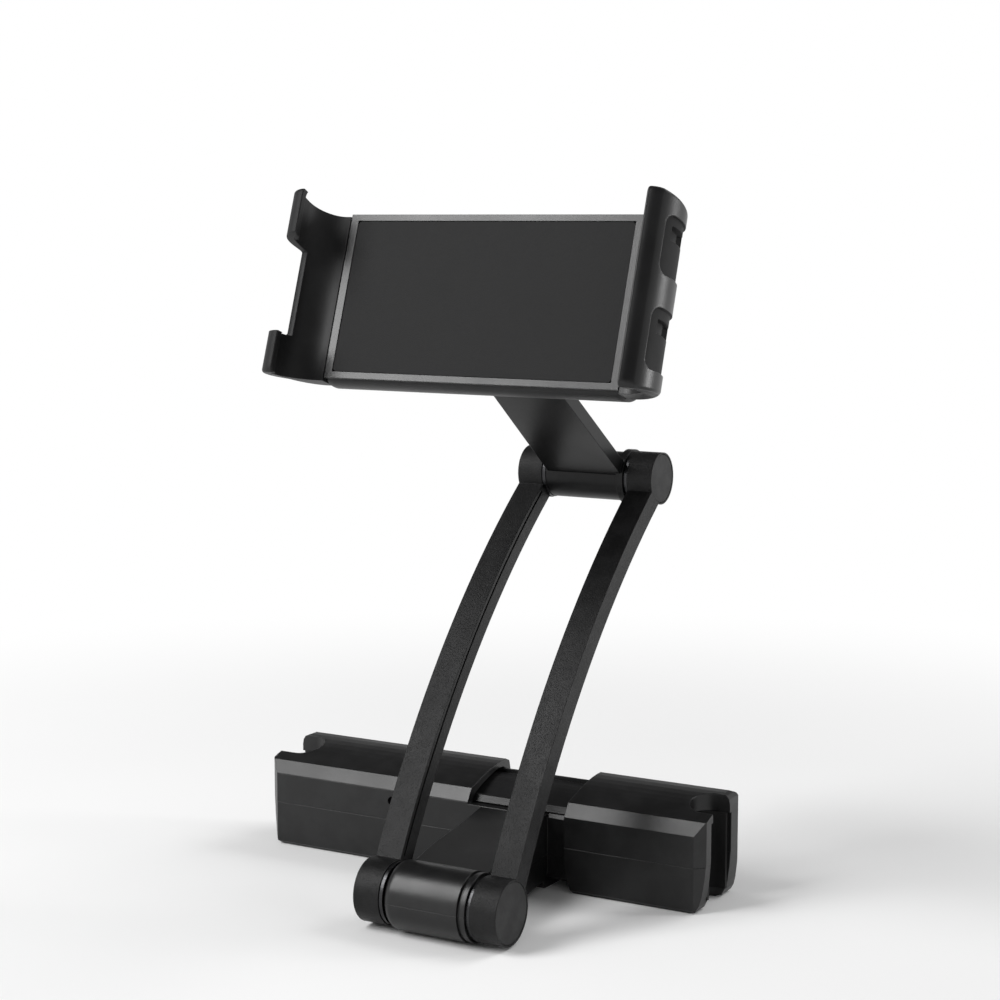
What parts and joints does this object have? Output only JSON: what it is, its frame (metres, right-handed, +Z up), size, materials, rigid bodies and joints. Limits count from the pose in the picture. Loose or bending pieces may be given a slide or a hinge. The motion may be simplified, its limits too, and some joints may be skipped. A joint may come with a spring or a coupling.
{
  "type": "headrest tablet mount",
  "caption": "Tablet holder for a car seat: a telescopic base wedges between the headrest posts, with folding bowed arms, a ball head and a sprung cradle.",
  "frame": {"origin": "on the underside of the base at mid depth, in the middle plane of the two hinges", "axes": "+Z up, +X along the spacing of the headrest posts towards the sliding housing, -Y towards the viewer of the tablet"},
  "size_m": [0.171, 0.1226, 0.2266],
  "materials": {
    "housing_plastic": "fine satin moulding",
    "arm_plastic": "fine spark texture",
    "neck_plastic": "satin",
    "cradle_plastic": "satin",
    "jaw_plastic": "semi-gloss",
    "cap_plastic": "matt",
    "trim_plastic": "satin",
    "rail_plastic": "satin",
    "pad_rubber": "matt",
    "rubber": "matt",
    "steel": "plain",
    "washer_steel": "satin",
    "nylon": "natural nylon"
  },
  "bodies": {
    "base": {"base_body": "housing_plastic", "base_bottom_shell": "housing_plastic", "left_cover": "housing_plastic", "left_post_pad": "rubber", "guide_rod": "steel", "expansion_spring": "steel", "base_screws": "steel"},
    "sliding_housing": {"right_upper_shell": "housing_plastic", "right_lower_shell": "housing_plastic", "slide_rail": "rail_plastic", "right_post_pad": "rubber", "right_screws": "steel"},
    "lock_button": {"lock_button": "trim_plastic"},
    "arms": {"arm_left": "arm_plastic", "arm_right": "arm_plastic", "lower_hinge_pin": "steel", "lower_washers": "washer_steel", "lower_end_caps": "cap_plastic", "upper_end_caps": "cap_plastic", "upper_hinge_pin": "steel", "upper_washers": "washer_steel"},
    "neck": {"neck_plate": "neck_plastic", "ball_stud": "steel"},
    "ball_liner": {"ball_liner": "nylon"},
    "lock_nut": {"lock_nut": "trim_plastic"},
    "cradle": {"ball_socket": "trim_plastic", "cradle_back": "cradle_plastic", "cradle_frame": "cradle_plastic", "cradle_pad": "pad_rubber", "cradle_screws": "steel", "left_spring": "steel", "right_spring": "steel"},
    "left_jaw": {"left_jaw": "jaw_plastic", "left_tongue": "rail_plastic", "left_grips": "rubber"},
    "right_jaw": {"right_jaw": "jaw_plastic", "right_tongue": "rail_plastic", "right_grips": "rubber"}
  },
  "joints": [
    {"name": "base_width_slide", "type": "slide", "parent": "base", "child": "sliding_housing", "axis": [1, 0, 0], "range_m": [-0.007, 0.025], "deforming": ["expansion_spring"]},
    {"name": "lock_button_press", "type": "slide", "parent": "base", "child": "lock_button", "axis": [0, 1, 0], "range_m": [0, 0.001], "stiffness_N_per_m": 200, "springref_m": -0.001},
    {"name": "lower_hinge", "type": "hinge", "parent": "base", "child": "arms", "pos_m": [0, -0.0696, 0.0109], "axis": [1, 0, 0], "range_deg": [-30, 60]},
    {"name": "upper_hinge", "type": "hinge", "parent": "arms", "child": "neck", "pos_m": [0, 0.03288, 0.13089], "axis": [1, 0, 0], "range_deg": [-80, 35]},
    {"name": "ball_tilt", "type": "hinge", "parent": "neck", "child": "ball_liner", "pos_m": [0, -0.02725, 0.18645], "axis": [1, 0, 0], "range_deg": [-45, 15]},
    {"name": "ball_pan", "type": "hinge", "parent": "ball_liner", "child": "lock_nut", "pos_m": [0, -0.02725, 0.18645], "axis": [0, 0.3256, 0.9455], "range_deg": [-20, 20]},
    {"name": "cradle_spin", "type": "hinge", "parent": "lock_nut", "child": "cradle", "pos_m": [0, -0.02725, 0.18645], "axis": [0, -0.9455, 0.3256], "continuous": true},
    {"name": "left_jaw_slide", "type": "slide", "parent": "cradle", "child": "left_jaw", "axis": [-1, 0, 0], "range_m": [0, 0.045], "stiffness_N_per_m": 50, "springref_m": -0.05, "deforming": ["left_spring"]},
    {"name": "right_jaw_slide", "type": "slide", "parent": "cradle", "child": "right_jaw", "axis": [1, 0, 0], "range_m": [0, 0.045], "stiffness_N_per_m": 50, "springref_m": -0.05, "deforming": ["right_spring"]}
  ]
}
